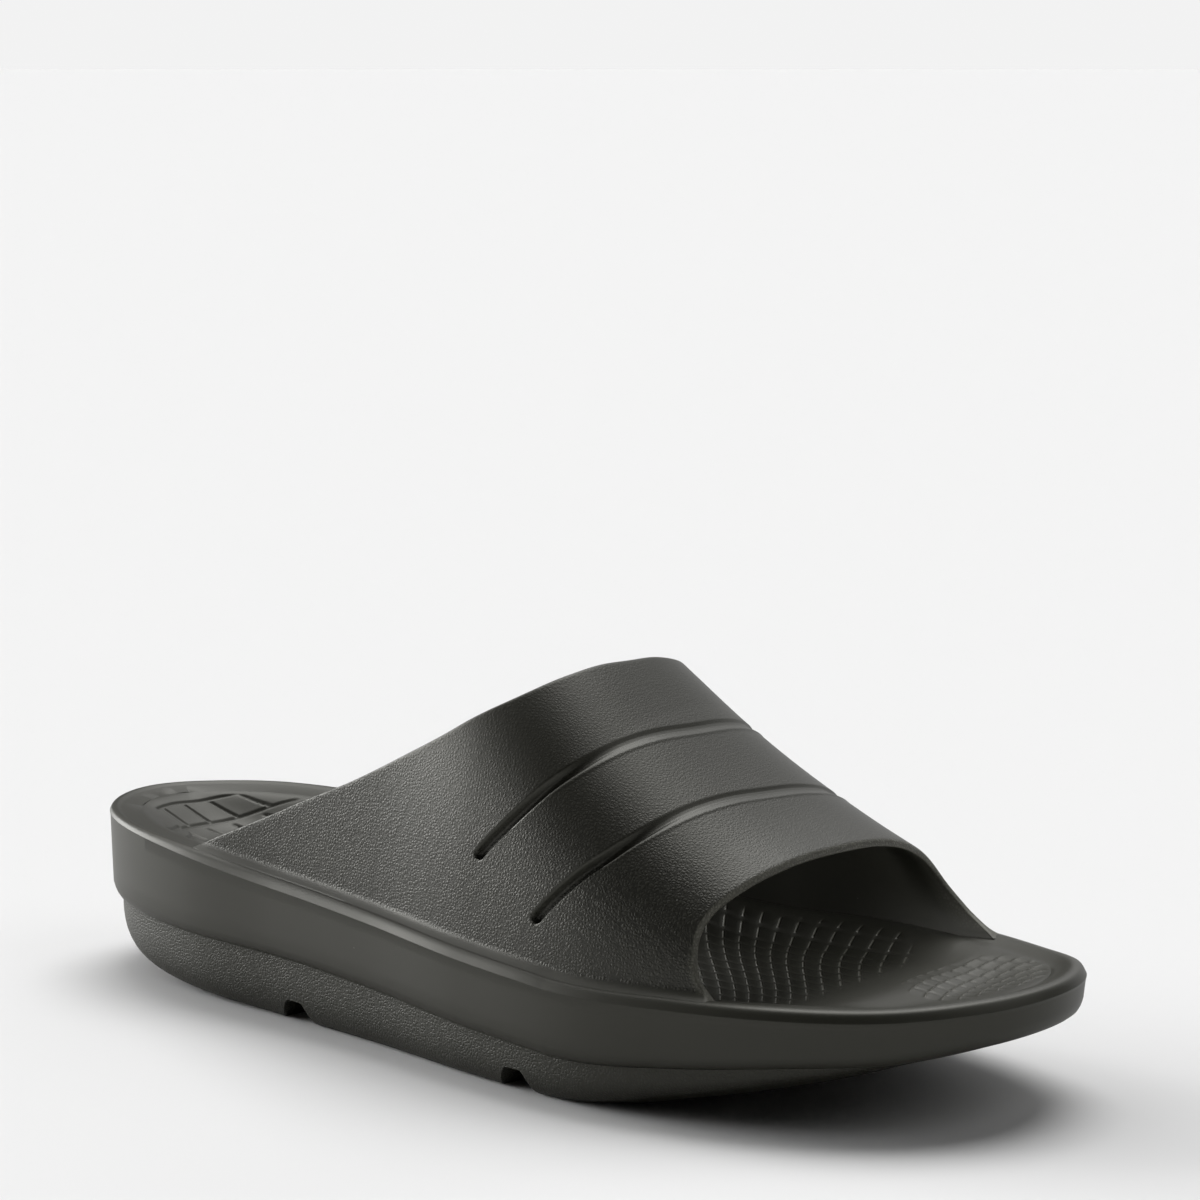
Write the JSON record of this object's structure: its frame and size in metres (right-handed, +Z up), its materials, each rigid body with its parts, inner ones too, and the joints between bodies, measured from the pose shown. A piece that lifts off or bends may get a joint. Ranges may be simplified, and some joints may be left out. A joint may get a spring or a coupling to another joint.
{
  "type": "slide sandal",
  "caption": "Open-toed foam slide: thick sole with toe spring and flex channels, dished footbed with a raised rim, and a broad arched band with moulded grooves.",
  "frame": {"origin": "on the floor, under the middle of the sandal's bounding box", "axes": "+X to the toe, +Y to the inner (big toe) side, +Z up"},
  "size_m": [0.28, 0.106, 0.0947],
  "materials": {
    "outsole_foam": "matt moulded foam with a fine wavy grain",
    "midsole_foam": "smooth satin skin of moulded foam",
    "upper_foam": "satin moulded foam with a fine pebbled grain"
  },
  "bodies": {
    "root": {"outsole": "outsole_foam", "midsole": "midsole_foam", "upper": "upper_foam"}
  },
  "joints": []
}
